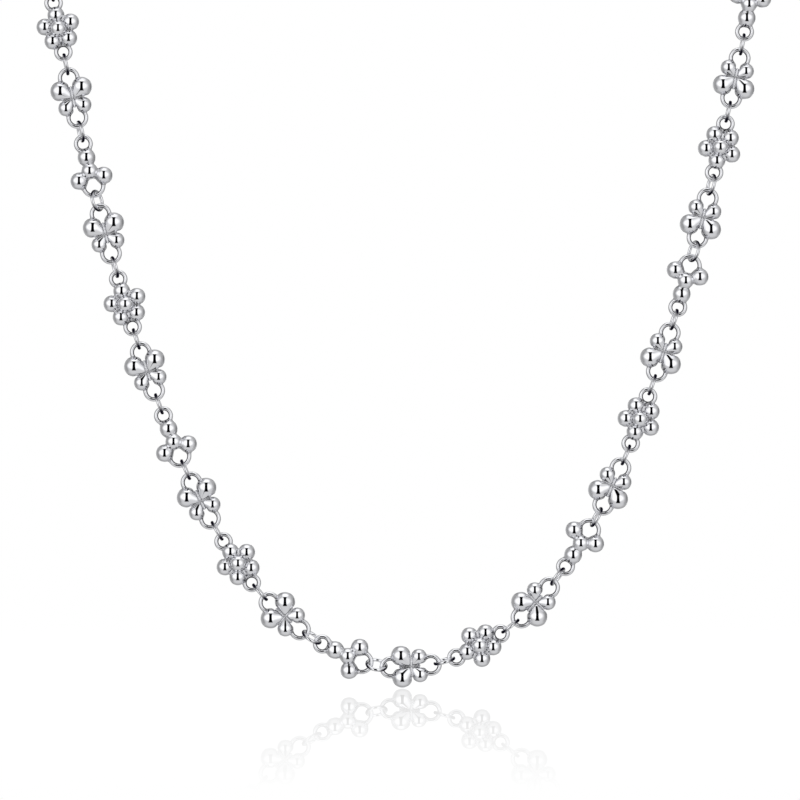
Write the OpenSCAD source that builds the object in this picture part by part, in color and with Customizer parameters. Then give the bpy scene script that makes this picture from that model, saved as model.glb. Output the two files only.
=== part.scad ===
// Necklace of bead-cluster links, hanging as it is worn, with its front towards -Y.
// Millimetres. X runs across, Y from front to back and Z up. The origin is the place at the
// back of the neck where the top of the string rests.

/* [String] */
// Radius of the bend at the lowest point of the freely hanging front
sag_r = 22.5; // [22:0.1:23]
// Share of a free string's slope that the sides keep, because the neck spreads them
slope_share = 0.983; // [0.98:0.001:0.99]
// Length of the freely hanging stretch on each side of the lowest point
front_len = 130; // [129:0.5:131]
// How far the middle link hangs past the lowest point
middle_offset = 1.1; // [0:0.1:2]

/* [Butterfly link] */
// Angle between the link's axis and each petal
petal_angle = 48; // [46:1:50]
// Radius of a large petal at its round end
large_petal_r = 1.70; // [1.6:0.05:1.8]
// Distance of a large petal's round end from the link's middle
large_petal_reach = 2.45; // [2.3:0.05:2.5]
// Radius of a small petal at its round end
small_petal_r = 1.33; // [1.25:0.02:1.4]
// Distance of a small petal's round end from the link's middle
small_petal_reach = 2.00; // [1.9:0.05:2.1]
// Radius of a large petal's nose, near the link's middle
large_nose_r = 1.20; // [1.1:0.02:1.25]
// Distance of a large petal's nose from the link's middle
large_nose_x = 1.25; // [1.2:0.01:1.3]
// Radius of a small petal's nose, near the link's middle
small_nose_r = 0.93; // [0.85:0.01:0.98]
// Distance of a small petal's nose from the link's middle
small_nose_x = 1.02; // [0.98:0.01:1.06]
// Half the thickness of the ribs between the petals
petal_rib_half = 0.17; // [0.14:0.01:0.2]
// How far the ribs between the petals rise to the front and to the back
petal_rib_rise = 0.86; // [0.8:0.01:0.9]
// Length of the rib between the two large petals, from the link's middle
rib_reach_1 = 2.08; // [1.9:0.01:2.15]
// Length of the rib between the two small petals, from the link's middle
rib_reach_2 = 1.50; // [1.4:0.01:1.6]
// Length of the ribs between a large petal and a small one, from the link's middle
rib_reach_across = 1.85; // [1.7:0.01:1.9]
// Radius of the circle of wire of each eye
butterfly_eye_r = 1.47; // [1.4:0.02:1.55]
// Angle that an eye's wire leaves open between the petals
butterfly_eye_opening = 80; // [70:5:85]
// Distance of the eye between the large petals from the link's middle
butterfly_reach_1 = 3.52; // [3.4:0.02:3.6]
// Distance of the eye between the small petals from the link's middle
butterfly_reach_2 = 3.24; // [3.1:0.02:3.3]

/* [Flower link] */
// Radius of the five outer beads
flower_bead_r = 1.42; // [1.4:0.02:1.5]
// Radius of the circle that the outer beads stand on
flower_ring_r = 2.30; // [2.2:0.02:2.32]
// Radius of the middle bead
flower_middle_r = 1.33; // [1.3:0.01:1.4]
// How far the middle bead stands forward of the outer ones
flower_middle_rise = 0.9; // [0.7:0.05:1]
// Radius of the core that joins the beads behind the middle one
flower_core_r = 1.5; // [1.48:0.01:1.6]
// Half the thickness of the ribs between the outer beads
flower_rib_half = 0.19; // [0.15:0.01:0.2]
// How far the ribs between the outer beads rise to the front and to the back
flower_rib_rise = 0.85; // [0.8:0.01:0.9]
// Distance of the outer ends of those ribs from the link's middle
flower_rib_reach = 2.35; // [2.3:0.01:2.4]
// Radius of the circle of wire of each eye
flower_eye_r = 1.20; // [1.1:0.02:1.25]
// Distance of the eye next to the bead on the axis from the link's middle
flower_reach_1 = 4.36; // [4.3:0.02:4.4]
// Distance of the eye between two beads from the link's middle
flower_reach_2 = 3.98; // [3.9:0.02:4.05]

/* [Trefoil link] */
// Radius of the middle bead
trefoil_middle_r = 1.37; // [1.35:0.01:1.45]
// How far the middle bead stands forward of the others
trefoil_middle_rise = 0.4; // [0.2:0.05:0.5]
// Radius of the bead on the axis
trefoil_end_r = 1.50; // [1.45:0.01:1.55]
// Distance of the bead on the axis from the middle bead
trefoil_end_reach = 2.34; // [2.3:0.02:2.4]
// Radius of the two side beads
trefoil_side_r = 1.46; // [1.42:0.01:1.5]
// Distance of each side bead from the middle bead
trefoil_side_reach = 2.45; // [2.4:0.02:2.5]
// Angle between the link's axis and each side bead
trefoil_side_angle = 60; // [58:1:62]
// Radius of the circle of wire of the small eye, on the axis
trefoil_small_eye_r = 1.235; // [1.2:0.01:1.27]
// Distance of the small eye from the middle bead
trefoil_reach_1 = 4.67; // [4.6:0.02:4.7]
// Radius of the circle of wire of the large eye, between the side beads
trefoil_large_eye_r = 1.65; // [1.6:0.01:1.7]
// Distance of the large eye from the middle bead
trefoil_reach_2 = 2.53; // [2.5:0.01:2.6]

/* [Eyes and jump rings] */
// Thickness of the eyes' wire
eye_wire = 0.72; // [0.68:0.01:0.74]
// Thickness of the jump rings' wire
ring_wire = 0.58; // [0.54:0.01:0.6]
// Inner diameter of a jump ring
ring_bore = 2.60; // [2.56:0.01:2.64]
// Gap between a jump ring and the wire that pulls at it
ring_play = 0.06; // [0.05:0.01:0.08]

/* [Clasp] */
// Thickness of the clasp's wire at its closed hook
hook_wire = 1.2; // [1.1:0.05:1.25]
// Radius of the circle of wire of the hook
hook_r = 2.1; // [2:0.05:2.3]
// Radius of the circle of wire of the clasp's own eye
clasp_eye_r = 1.2; // [1.1:0.02:1.25]
// Radius of the clasp's body at its thick end
body_r = 1.6; // [1.4:0.05:1.7]
// Radius of the clasp's body where it leaves its eye
body_neck_r = 0.8; // [0.7:0.05:0.9]

/* [Hidden] */
$fn = 48;
LINKS = 37;
MIDDLE = 18;
// Share of its balls' radii that a petal's cone has where it enters them
CONE_FIT = 0.9;
// How much farther the crossing rib of a butterfly link rises than the rib along it
RIB_STEP = 0.02;

// Rows of EYES
BUTTERFLY = 0;
FLOWER = 1;
TREFOIL = 2;
// Columns of EYES: an eye's distance from the link's middle, and the radius of its circle of wire
REACH_1 = 0;
REACH_2 = 1;
ROUND_1 = 2;
ROUND_2 = 3;
EYES = [
    [butterfly_reach_1, butterfly_reach_2, butterfly_eye_r, butterfly_eye_r],
    [flower_reach_1, flower_reach_2, flower_eye_r, flower_eye_r],
    [trefoil_reach_1, trefoil_reach_2, trefoil_small_eye_r, trefoil_large_eye_r],
];

// Columns of LINK_TURNS and RING_TURNS: which link, or which link the ring follows, and degrees
NUMBER = 0;
TURN = 1;
// Links that hang a little off the string's curve
LINK_TURNS = [[13, -1], [16, 2.6], [17, -1.5], [18, 1], [19, -1.5], [21, -1], [22, 1], [23, 1.3]];
// Jump rings that have rolled about the string, which shows their opening
RING_TURNS = [
    [2, 12], [5, -16], [7, -6], [8, -14], [9, 25], [10, -10], [16, 16], [17, 28], [18, 5],
    [20, -12], [21, 8], [24, 5], [25, 23], [26, 14], [31, -18], [34, 10],
];
function turn(table, number) =
    let (hits = [for (row = table) if (row[NUMBER] == number) row[TURN]])
    len(hits) > 0 ? hits[0] : 0;

// The links repeat in fours: butterfly, trefoil, butterfly, flower
function kind(i) = i % 2 == 0 ? BUTTERFLY : i % 4 == 3 ? FLOWER : TREFOIL;
function eye(i, column) = EYES[kind(i)][column];

// From a ring's middle to the middle of an eye that hangs in it
function to_eye(eye_r, wire) = ring_bore / 2 - ring_play - wire / 2 + eye_r;
function to_first(i) = to_eye(eye(i, ROUND_1), eye_wire);
function to_second(i) = to_eye(eye(i, ROUND_2), eye_wire);
// From a link's middle to the middle of the ring before it and of the ring after it
function behind(i) = eye(i, REACH_1) + to_first(i);
function ahead(i) = eye(i, REACH_2) + to_second(i);

// Places of the links' middles along the string, from the lowest point
FROM_FIRST = [
    for (i = 0, s = 0; i < LINKS; s = s + ahead(i) + behind(min(i + 1, LINKS - 1)), i = i + 1) s
];
function along(i) = FROM_FIRST[i] - FROM_FIRST[MIDDLE] + middle_offset;
START = along(0) - behind(0);
END = along(LINKS - 1) + ahead(LINKS - 1);

// The front hangs in the curve of a free string, and an arc closes the loop behind the neck
TOP_SLOPE = slope_share * atan(front_len / sag_r);
ARC_LEN = (END - START) / 2 - front_len;
function slope(s) =
    let (free = min(abs(s), front_len), rest = abs(s) - free)
    sign(s) * (slope_share * atan(free / sag_r) + (180 - TOP_SLOPE) * rest / ARC_LEN);
function link_slope(i) = slope(along(i)) + turn(LINK_TURNS, i);
function dir(a) = [cos(a), sin(a)];
function ring_slope(i) =
    i < 0 ? slope(START) : i >= LINKS - 1 ? slope(END) : (link_slope(i) + link_slope(i + 1)) / 2;

// Steps in X and Z from a link's middle to the rings on both sides of it
function step_back(i) = -eye(i, REACH_1) * dir(link_slope(i)) - to_first(i) * dir(ring_slope(i - 1));
function step_on(i) = eye(i, REACH_2) * dir(link_slope(i)) + to_second(i) * dir(ring_slope(i));
WALK = [
    for (i = 0, p = [0, 0]; i < LINKS;
         p = p + step_on(i) - step_back(min(i + 1, LINKS - 1)), i = i + 1) p
];
WALK_START = WALK[0] + step_back(0);
WALK_END = WALK[LINKS - 1] + step_on(LINKS - 1);
CLASP_SPAN = norm(WALK_START - WALK_END);
CLASP_SLOPE = atan2(WALK_START[1] - WALK_END[1], WALK_START[0] - WALK_END[0]);
// The clasp's underside is what rests on the neck
ORIGIN = (WALK_START + WALK_END) / 2 - [0, body_r];
function link_at(i) = WALK[i] - ORIGIN;
function ring_at(i) = (i < 0 ? WALK_START : WALK[i] + step_on(i)) - ORIGIN;

function two_digits(n) = str(n < 10 ? "0" : "", n);
// Links of one kind are numbered on their own: every second, or every fourth link of the string
function link_name(i) =
    kind(i) == BUTTERFLY ? str("butterfly_link_", two_digits(i / 2 + 1)) :
    kind(i) == FLOWER ? str("flower_link_", two_digits((i + 1) / 4)) :
    str("trefoil_link_", two_digits((i + 3) / 4));

// Puts a piece that lies along X, with its front up, at a place of the hanging string
module hung(at, angle) {
    translate([at[0], 0, at[1]]) rotate([0, -angle, 0]) rotate([90, 0, 0]) children();
}

// A ball whose poles lie in the plane of the link, off its axes
module bead(x, y, z, r) {
    translate([x, y, z]) rotate([90, 0, 20]) sphere(r);
}

module wire_ring(x, r, wire) {
    translate([x, 0, 0]) rotate_extrude() translate([r, 0]) circle(wire / 2);
}

// A ring of wire that is open towards the link's middle, where its ends lie inside the petals
module open_ring(x, r, wire, opening) {
    translate([x, 0, 0]) rotate([0, 0, (x > 0 ? 180 : 0) + opening / 2])
        rotate_extrude(angle = 360 - opening) translate([r, 0]) circle(wire / 2);
}

// Drop-shaped petal: a large ball that narrows to a smaller one, its nose, near the link's middle
module petal(angle, nose_x, nose_r, reach, r) {
    lean = (r - nose_r) / (reach - nose_x);
    start = nose_x - lean * nose_r;
    rotate([0, 0, angle]) {
        bead(nose_x, 0, 0, nose_r);
        bead(reach, 0, 0, r);
        translate([start, 0, 0]) rotate([0, 90, 0])
            cylinder(h = reach - lean * r - start, r1 = CONE_FIT * nose_r, r2 = CONE_FIT * r);
    }
}

// Upright wall in a notch, from one distance to another along its own direction
module rib(angle, from, to, half, rise) {
    rotate([0, 0, angle]) translate([from, -half, -rise]) cube([to - from, 2 * half, 2 * rise]);
}

module butterfly_link() {
    for (side = [-1, 1]) {
        petal(180 - side * petal_angle, large_nose_x, large_nose_r, large_petal_reach, large_petal_r);
        petal(side * petal_angle, small_nose_x, small_nose_r, small_petal_reach, small_petal_r);
    }
    rib(0, -rib_reach_1, rib_reach_2, petal_rib_half, petal_rib_rise);
    rib(90, -rib_reach_across, rib_reach_across, petal_rib_half, petal_rib_rise + RIB_STEP);
    for (x = [-butterfly_reach_1, butterfly_reach_2])
        open_ring(x, butterfly_eye_r, eye_wire, butterfly_eye_opening);
}

module flower_link() {
    bead(0, 0, flower_middle_rise, flower_middle_r);
    bead(0, 0, 0, flower_core_r);
    for (around = [0:72:288]) {
        bead(-flower_ring_r * cos(around), -flower_ring_r * sin(around), 0, flower_bead_r);
        rib(around + 216, flower_core_r / 2, flower_rib_reach, flower_rib_half, flower_rib_rise);
    }
    wire_ring(-flower_reach_1, flower_eye_r, eye_wire);
    wire_ring(flower_reach_2, flower_eye_r, eye_wire);
}

module trefoil_link() {
    bead(0, 0, trefoil_middle_rise, trefoil_middle_r);
    bead(-trefoil_end_reach, 0, 0, trefoil_end_r);
    for (side = [-1, 1])
        rotate([0, 0, side * trefoil_side_angle]) bead(trefoil_side_reach, 0, 0, trefoil_side_r);
    wire_ring(-trefoil_reach_1, trefoil_small_eye_r, eye_wire);
    wire_ring(trefoil_reach_2, trefoil_large_eye_r, eye_wire);
}

module link(i) {
    color("silver") hung(link_at(i), link_slope(i)) {
        if (kind(i) == BUTTERFLY) butterfly_link();
        if (kind(i) == FLOWER) flower_link();
        if (kind(i) == TREFOIL) trefoil_link();
    }
}

// The rings stand across the links, so their edges face the front
module jump_rings(first, last) {
    color("gainsboro") for (i = [first:last])
        hung(ring_at(i), ring_slope(i)) rotate([90 + turn(RING_TURNS, i), 0, 0])
            wire_ring(0, (ring_bore + ring_wire) / 2, ring_wire);
}

// Plain closed clasp in one piece: an eye, a swelling body and a closed hook
module clasp() {
    eye_x = to_eye(clasp_eye_r, eye_wire);
    hook_x = CLASP_SPAN - to_eye(hook_r, hook_wire);
    body_x = hook_x - hook_r - body_r;
    neck_x = eye_x + clasp_eye_r - eye_wire / 4;
    color("silver") hung(ring_at(LINKS - 1), CLASP_SLOPE) {
        wire_ring(eye_x, clasp_eye_r, eye_wire);
        translate([neck_x, 0, 0]) rotate([0, 90, 0])
            cylinder(h = body_x - neck_x, r1 = body_neck_r, r2 = 0.94 * body_r);
        bead(body_x, 0, 0, body_r);
        wire_ring(hook_x, hook_r, hook_wire);
    }
}

for (i = [0:LINKS - 1]) link(i);
jump_rings(-1, MIDDLE - 1);  // jump_rings_left
jump_rings(MIDDLE, LINKS - 1);  // jump_rings_right
clasp();
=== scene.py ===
"""Looks of a polished silver necklace of bead-cluster links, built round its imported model.

Lengths are millimetres in the classes and metres in the finished pieces, and angles in fields are degrees.
A link lies along X with its front up (+Z) while it is made, and is then hung in its place on the string, with
its front towards -Y.
"""

import logging
import math
from abc import ABC, abstractmethod
from dataclasses import dataclass, field
from enum import Enum
from typing import Any, ClassVar, Mapping

import bmesh
import bpy
import numpy as np
from mathutils import Matrix, Vector


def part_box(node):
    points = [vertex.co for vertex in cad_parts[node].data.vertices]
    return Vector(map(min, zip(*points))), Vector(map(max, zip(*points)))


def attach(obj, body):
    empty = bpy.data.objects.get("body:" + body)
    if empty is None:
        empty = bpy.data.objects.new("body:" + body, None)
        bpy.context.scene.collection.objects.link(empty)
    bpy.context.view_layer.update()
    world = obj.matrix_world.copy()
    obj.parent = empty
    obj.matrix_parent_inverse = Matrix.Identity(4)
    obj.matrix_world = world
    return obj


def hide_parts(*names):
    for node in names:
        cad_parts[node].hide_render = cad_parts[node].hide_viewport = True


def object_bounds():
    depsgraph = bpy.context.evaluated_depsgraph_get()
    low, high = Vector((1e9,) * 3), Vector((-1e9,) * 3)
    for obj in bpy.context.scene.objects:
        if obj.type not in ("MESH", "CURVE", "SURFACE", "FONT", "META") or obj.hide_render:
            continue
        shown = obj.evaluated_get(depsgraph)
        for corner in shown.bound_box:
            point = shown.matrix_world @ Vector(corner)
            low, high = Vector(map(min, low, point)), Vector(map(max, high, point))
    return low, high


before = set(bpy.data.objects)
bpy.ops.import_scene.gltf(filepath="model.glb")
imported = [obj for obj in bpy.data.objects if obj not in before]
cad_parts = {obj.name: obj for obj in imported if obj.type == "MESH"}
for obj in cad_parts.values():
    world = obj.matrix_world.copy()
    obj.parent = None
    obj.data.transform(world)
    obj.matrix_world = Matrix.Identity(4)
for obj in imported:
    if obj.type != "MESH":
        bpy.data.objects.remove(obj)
CAD_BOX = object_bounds()

LOG = logging.getLogger("necklace")
MM = 0.001
FULL_TURN = 2 * math.pi
QUARTER_TURN = math.pi / 2
HALF_CIRCLE = 180.0
RIGHT_ANGLE = 90.0
ROOT = 0.5
PLAIN_BODY = "root"
CREST_POWER = 1.5
Points = np.ndarray
Colour = tuple[float, float, float, float]


class Kind(Enum):
    """The three castings that the string repeats, by the name of their nodes."""

    BUTTERFLY = "butterfly_link"
    FLOWER = "flower_link"
    TREFOIL = "trefoil_link"


class Slot(Enum):
    """The record's material slots."""

    CAST = "cast_silver"
    WIRE = "wire_silver"


# Shader nodes


class Term:
    """A shader socket that can be used in a Python expression."""

    def __init__(self, graph: "Graph", socket: bpy.types.NodeSocket) -> None:
        """Wraps a node's output.

        Args:
            graph: The graph that the socket belongs to.
            socket: The output that the term stands for.
        """
        self.graph = graph
        self.socket = socket

    def math(self, operation: str, *values: Any) -> "Term":
        """Adds a Math node.

        Args:
            operation: Blender's name of the operation.
            values: Its inputs, terms or numbers, in their order.

        Returns:
            The node's result.
        """
        node = self.graph.node("ShaderNodeMath", {"operation": operation}, dict(enumerate(values)))
        return Term(self.graph, node.outputs[0])

    def __add__(self, other: Any) -> "Term":
        """Sum."""
        return self.math("ADD", self, other)

    def __sub__(self, other: Any) -> "Term":
        """Difference."""
        return self.math("SUBTRACT", self, other)

    def __mul__(self, other: Any) -> "Term":
        """Product."""
        return self.math("MULTIPLY", self, other)

    def __truediv__(self, other: Any) -> "Term":
        """Quotient."""
        return self.math("DIVIDE", self, other)

    __radd__ = __add__
    __rmul__ = __mul__

    def __rsub__(self, other: Any) -> "Term":
        """Difference, with the term taken away."""
        return self.math("SUBTRACT", other, self)

    def __rtruediv__(self, other: Any) -> "Term":
        """Quotient, with the term below."""
        return self.math("DIVIDE", other, self)

    def __pow__(self, other: Any) -> "Term":
        """Power."""
        return self.math("POWER", self, other)

    def size(self) -> "Term":
        """Absolute value."""
        return self.math("ABSOLUTE", self)

    def most(self, other: Any) -> "Term":
        """The larger of two values."""
        return self.math("MAXIMUM", self, other)

    def diagonal(self, other: "Term") -> "Term":
        """Length of a step that goes the two terms' ways."""
        return (self * self + other * other) ** ROOT

    def past(self, edge: Any, soft: float) -> "Term":
        """A mask that rises from 0 to 1 where the term passes an edge.

        Args:
            edge: Value of the term at the middle of the rise.
            soft: Half the width of the rise.

        Returns:
            The mask.
        """
        inputs = {"Value": self - edge, "From Min": -soft, "From Max": soft}
        node = self.graph.node("ShaderNodeMapRange", {"interpolation_type": "SMOOTHSTEP"}, inputs)
        return Term(self.graph, node.outputs["Result"])

    def towards(self, other: Any, share: Any) -> "Term":
        """Blends the term into another value.

        Args:
            other: The value at a share of 1.
            share: How much of it there is.

        Returns:
            The blend.
        """
        return self + (other - self) * share


class Graph:
    """The nodes of one material or world."""

    def __init__(self, holder: bpy.types.Material | bpy.types.World) -> None:
        """Turns a material's or a world's nodes on and empties them.

        Args:
            holder: The material or world.
        """
        holder.use_nodes = True
        self.tree = holder.node_tree
        self.tree.nodes.clear()

    def node(self, kind: str, settings: Mapping[str, Any], inputs: Mapping[Any, Any]) -> bpy.types.Node:
        """Adds one node.

        Args:
            kind: Blender's type of the node.
            settings: Its properties, which are set first.
            inputs: Values, terms or sockets for its inputs, by their name or number.

        Returns:
            The node.
        """
        node = self.tree.nodes.new(kind)
        for name, value in settings.items():
            setattr(node, name, value)
        for name, value in inputs.items():
            if isinstance(value, Term):
                value = value.socket
            if isinstance(value, bpy.types.NodeSocket):
                self.tree.links.new(value, node.inputs[name])
            else:
                node.inputs[name].default_value = value
        return node

    def term(self, node: bpy.types.Node, output: str) -> Term:
        """One output of a node, ready for expressions."""
        return Term(self, node.outputs[output])

    def attribute(self, name: str) -> Term:
        """The values of a mesh's attribute."""
        return self.term(self.node("ShaderNodeAttribute", {"attribute_name": name}, {}), "Fac")

    def place(self, coordinates: str) -> bpy.types.NodeSocket:
        """Coordinates of one kind, such as Object."""
        return self.node("ShaderNodeTexCoord", {}, {}).outputs[coordinates]

    def split(self, vector: bpy.types.NodeSocket) -> tuple[Term, Term, Term]:
        """The three parts of a vector."""
        node = self.node("ShaderNodeSeparateXYZ", {}, {0: vector})
        return self.term(node, "X"), self.term(node, "Y"), self.term(node, "Z")

    def blend(self, share: Any, low: Colour, high: Colour) -> bpy.types.NodeSocket:
        """Blends two colours.

        Args:
            share: How much there is of the second colour. It may pass 1.
            low: Colour at a share of 0.
            high: Colour at a share of 1.

        Returns:
            The colour.
        """
        settings = {"data_type": "RGBA", "clamp_factor": False}
        node = self.node("ShaderNodeMix", settings, {"Factor": share, "A": low, "B": high})
        return node.outputs["Result"]


# Finishes


@dataclass(frozen=True)
class Silver:
    """Polished silver: bright on the crowns, satin where the buffing wheel doesn't reach, and with painted
    shade in its hollows.
    """

    name: str
    crown: Colour = (0.94, 0.945, 0.975, 1.0)
    # The next colour is painted shade, which the base colour darkens towards in hollows, creases and on the
    # inner sides of rings.
    painted_shade: Colour = (0.22, 0.22, 0.24, 1.0)
    crown_rough: float = 0.02
    hollow_rough: float = 0.50
    satin_rough: float = 0.42
    drift_rough: float = 0.02
    drift_size: float = 1.1
    drift_detail: float = 2.0
    scratch_size: float = 0.10
    scratch_detail: float = 4.0
    scratch_depth: float = 0.00035
    scratch_share: float = 1.0
    metal: float = 1.0

    def material(self) -> bpy.types.Material:
        """Builds the finish.

        Returns:
            A material that reads Object coordinates and two attributes of the castings: their painted shade
            and their satin.
        """
        material = bpy.data.materials.new(self.name)
        graph = Graph(material)
        place = graph.place("Object")
        painted_shade = graph.attribute("painted_shade")
        satin = graph.attribute("satin")
        drift = self.noise(graph, place, self.drift_size, self.drift_detail)
        scratches = self.noise(graph, place, self.scratch_size, self.scratch_detail)
        rough = (self.crown_rough + drift * self.drift_rough).towards(self.satin_rough, satin)
        depth = {"Distance": self.scratch_depth * MM, "Height": scratches, "Strength": self.scratch_share}
        bump = graph.node("ShaderNodeBump", {}, depth)
        looks = {
            # Base colour darkens from the crown colour towards the painted shade colour by the painted shade
            # mask.
            "Base Color": graph.blend(painted_shade, self.crown, self.painted_shade),
            "Metallic": self.metal,
            "Roughness": rough.towards(self.hollow_rough, painted_shade),
            "Normal": bump.outputs["Normal"],
        }
        shader = graph.node("ShaderNodeBsdfPrincipled", {}, looks)
        graph.node("ShaderNodeOutputMaterial", {}, {"Surface": shader.outputs["BSDF"]})
        return material

    @staticmethod
    def noise(graph: Graph, place: bpy.types.NodeSocket, size: float, detail: float) -> Term:
        """Cloudy noise.

        Args:
            graph: The graph that it is added to.
            place: Coordinates in metres.
            size: Size of its patches.
            detail: How many finer layers it has.

        Returns:
            Values from 0 to 1.
        """
        inputs = {"Vector": place, "Scale": 1 / (size * MM), "Detail": detail}
        return graph.term(graph.node("ShaderNodeTexNoise", {}, inputs), "Fac")


# Plain forms that a casting is fused from


class Form(ABC):
    """One plain form of a casting.

    Its satin is how matt its skin is left, and raised is how far it rises out of the hollows beside it, as
    the share of their painted shade that it is spared.
    """

    satin: ClassVar[float] = 0.0
    raised: ClassVar[float] = 0.0

    @abstractmethod
    def add_to(self, bm: bmesh.types.BMesh) -> None:
        """Adds the form as a closed mesh."""

    @abstractmethod
    def distance(self, at: Points) -> Points:
        """How far points lie outside the form, with less than 0 inside."""

    def painted_inner_shade(self, at: Points, out: Points) -> Points:
        """Painted shade that the form's own shape lays on points, from 0 for none."""
        return np.zeros(len(at))


def turned(angle: float, start: float) -> Matrix:
    """Turns X by an angle about the casting's middle, and moves the start out along it."""
    return Matrix.Rotation(math.radians(angle), 4, "Z") @ Matrix.Translation((start, 0, 0))


def seen_from(axis: Matrix, at: Points) -> Points:
    """The places of points, as they are along and across an axis."""
    turn = np.array(axis.inverted())
    return at @ turn[:3, :3].T + turn[:3, 3]


def painted_shade_by_lean(lean: Points, open_lean: float, shut_lean: float, shut_share: float) -> Points:
    """Painted shade by how far the skin leans towards what closes it in.

    Args:
        lean: How far the skin leans towards it at each point, with 1 where it faces it.
        open_lean: Where the painted shade starts.
        shut_lean: Where the painted shade reaches a share of 1.
        shut_share: The most painted shade that there can be.

    Returns:
        A share for each point.
    """
    return np.clip((lean - open_lean) / (shut_lean - open_lean), 0, shut_share)


def add_ball(bm: bmesh.types.BMesh, place: Matrix, r: float, sides: int) -> None:
    """Adds a ball as a closed mesh."""
    bmesh.ops.create_uvsphere(bm, u_segments=sides, v_segments=sides // 2, radius=r, matrix=place)


@dataclass(frozen=True)
class Ball(Form):
    """A round bead."""

    x: float
    y: float
    z: float
    r: float
    sides: int = 40

    def add_to(self, bm: bmesh.types.BMesh) -> None:
        """Adds the bead as a closed mesh."""
        add_ball(bm, Matrix.Translation((self.x, self.y, self.z)), self.r, self.sides)

    def distance(self, at: Points) -> Points:
        """How far points lie outside the bead."""
        return np.linalg.norm(at - (self.x, self.y, self.z), axis=1) - self.r


@dataclass(frozen=True)
class Core(Ball):
    """The body behind the beads, which shows in slivers between them."""

    satin: ClassVar[float] = 0.8
    raised: ClassVar[float] = 0.7


@dataclass(frozen=True)
class Drop(Form):
    """A drop: the skin stretched round a small ball and a larger one, in the casting's plane."""

    start_x: float
    start_r: float
    length: float
    end_r: float
    angle: float = 0.0
    sides: int = 40

    def axis(self) -> Matrix:
        """Turns X into the drop's own direction, with the small ball's middle as the start."""
        return turned(self.angle, self.start_x)

    def lean(self) -> tuple[float, float]:
        """Sine and cosine of the angle between the drop's flank and its axis."""
        sine = (self.end_r - self.start_r) / self.length
        return sine, math.sqrt(1 - sine * sine)

    def add_to(self, bm: bmesh.types.BMesh) -> None:
        """Adds both balls and the cone that touches them.

        Args:
            bm: The mesh that they are added to.
        """
        for x, r in ((0.0, self.start_r), (self.length, self.end_r)):
            add_ball(bm, self.axis() @ Matrix.Translation((x, 0, 0)), r, self.sides)
        lean, narrow = self.lean()
        first = -lean * self.start_r
        last = self.length - lean * self.end_r
        middle = Matrix.Translation(((first + last) / 2, 0, 0)) @ Matrix.Rotation(QUARTER_TURN, 4, "Y")
        bmesh.ops.create_cone(
            bm,
            cap_ends=True,
            segments=self.sides,
            radius1=narrow * self.start_r,
            radius2=narrow * self.end_r,
            depth=last - first,
            matrix=self.axis() @ middle,
        )

    def distance(self, at: Points) -> Points:
        """How far points lie outside the drop.

        Args:
            at: The points.

        Returns:
            A distance for each of them, below 0 inside.
        """
        own = seen_from(self.axis(), at)
        along, across = own[:, 0], np.hypot(own[:, 1], own[:, 2])
        lean, narrow = self.lean()
        ahead = along * narrow + across * lean
        flank = across * narrow - along * lean - self.start_r
        start = np.hypot(along, across) - self.start_r
        end = np.hypot(along - self.length, across) - self.end_r
        return np.where(ahead < 0, start, np.where(ahead > self.length * narrow, end, flank))


@dataclass(frozen=True)
class Petal(Drop):
    """A drop whose sides are pressed flat towards the casting's middle, with a rib beside each of them."""

    press: float = 46.0
    gap: float = 0.20
    edge: float = 0.05

    def add_to(self, bm: bmesh.types.BMesh) -> None:
        """Adds the drop, cut along its two flat sides.

        Args:
            bm: The mesh that it is added to.
        """
        own = bmesh.new()
        super().add_to(own)
        for side in (-1, 1):
            turn = math.radians(self.angle + side * (RIGHT_ANGLE + self.press))
            outwards = Vector((math.cos(turn), math.sin(turn), 0))
            cut = {"plane_co": -self.gap * outwards, "plane_no": outwards, "clear_outer": True}
            bmesh.ops.bisect_plane(own, geom=list(own.verts) + list(own.edges) + list(own.faces), **cut)
            close_holes(own)
        add_mesh(bm, own)

    def distance(self, at: Points) -> Points:
        """How far points lie outside the petal, whose flat sides turn softly into its back.

        Args:
            at: The points.

        Returns:
            A distance for each of them, below 0 inside.
        """
        drop = super().distance(at)
        turn = math.radians(self.angle)
        along = at[:, 0] * math.cos(turn) + at[:, 1] * math.sin(turn)
        aside = np.abs(at[:, 1] * math.cos(turn) - at[:, 0] * math.sin(turn))
        press = math.radians(self.press)
        flat = aside * math.cos(press) - along * math.sin(press) + self.gap
        return np.logaddexp(drop / self.edge, flat / self.edge) * self.edge


@dataclass(frozen=True)
class Rib(Form):
    """An upright wall with a round crest, which runs outwards from the casting's middle."""

    satin: ClassVar[float] = 0.7
    raised: ClassVar[float] = 0.85

    start: float
    end: float
    half: float
    height: float
    angle: float = 0.0

    def axis(self) -> Matrix:
        """Turns X into the rib's own direction, with its middle as the start."""
        return turned(self.angle, (self.start + self.end) / 2)

    def add_to(self, bm: bmesh.types.BMesh) -> None:
        """Adds the rib as a plain block, whose edges are rounded later."""
        size = Matrix.Diagonal((self.end - self.start, 2 * self.half, 2 * self.height, 1))
        bmesh.ops.create_cube(bm, size=1, matrix=self.axis() @ size)

    def distance(self, at: Points) -> Points:
        """How far points lie outside the rib.

        Args:
            at: The points.

        Returns:
            A distance for each of them, below 0 inside.
        """
        own = seen_from(self.axis(), at)
        along = np.maximum(np.abs(own[:, 0]) - (self.end - self.start) / 2 + self.half, 0)
        up = np.maximum(np.abs(own[:, 2]) - self.height + self.half, 0)
        return crested(np.hypot(along, own[:, 1]), up) - self.half


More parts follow.
